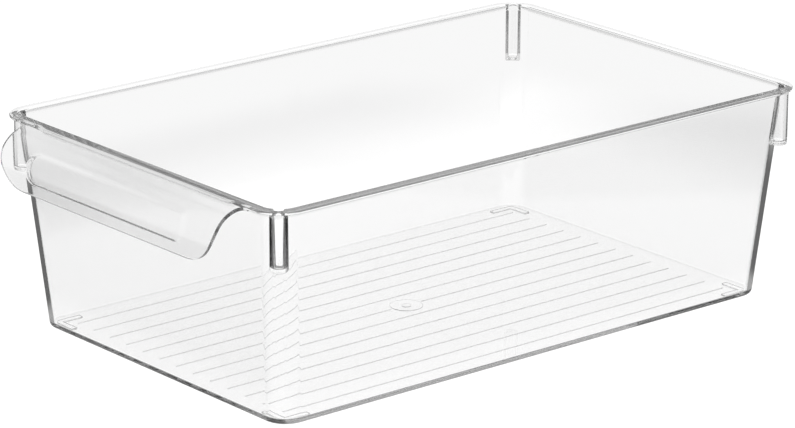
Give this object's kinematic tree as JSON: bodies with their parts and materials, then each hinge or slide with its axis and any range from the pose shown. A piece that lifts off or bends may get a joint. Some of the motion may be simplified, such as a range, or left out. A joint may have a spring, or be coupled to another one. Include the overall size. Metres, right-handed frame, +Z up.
{
  "type": "fridge bin",
  "caption": "Clear plastic open-top fridge bin: drafted walls, outward rim flange, curved pull handle on one end, corner stacking lugs, ribbed floor on low feet.",
  "frame": {"origin": "on the table under the middle of the bin's full length and width, handle included", "axes": "+Z up, +Y along the bin away from the handle, +X across the bin"},
  "size_m": [0.208, 0.3356, 0.104],
  "materials": {
    "clear_plastic": "polished water-clear moulding"
  },
  "bodies": {
    "root": {"floor_panel": "clear_plastic", "gate_pad": "clear_plastic", "floor_rib_1": "clear_plastic", "floor_rib_2": "clear_plastic", "floor_rib_3": "clear_plastic", "floor_rib_4": "clear_plastic", "floor_rib_5": "clear_plastic", "floor_rib_6": "clear_plastic", "floor_rib_7": "clear_plastic", "floor_rib_8": "clear_plastic", "floor_rib_9": "clear_plastic", "floor_rib_10": "clear_plastic", "floor_rib_11": "clear_plastic", "floor_rib_12": "clear_plastic", "floor_rib_13": "clear_plastic", "foot_front_left": "clear_plastic", "foot_front_right": "clear_plastic", "foot_back_left": "clear_plastic", "foot_back_right": "clear_plastic", "wall_front": "clear_plastic", "wall_back": "clear_plastic", "wall_left": "clear_plastic", "wall_right": "clear_plastic", "corner_front_left": "clear_plastic", "corner_front_right": "clear_plastic", "corner_back_left": "clear_plastic", "corner_back_right": "clear_plastic", "stacking_lug_front_left": "clear_plastic", "stacking_lug_front_right": "clear_plastic", "stacking_lug_back_left": "clear_plastic", "stacking_lug_back_right": "clear_plastic", "rim_front": "clear_plastic", "rim_back": "clear_plastic", "rim_left": "clear_plastic", "rim_right": "clear_plastic", "rim_corner_front_left": "clear_plastic", "rim_corner_front_right": "clear_plastic", "rim_corner_back_left": "clear_plastic", "rim_corner_back_right": "clear_plastic", "handle_apron": "clear_plastic", "handle_border": "clear_plastic"}
  },
  "joints": []
}
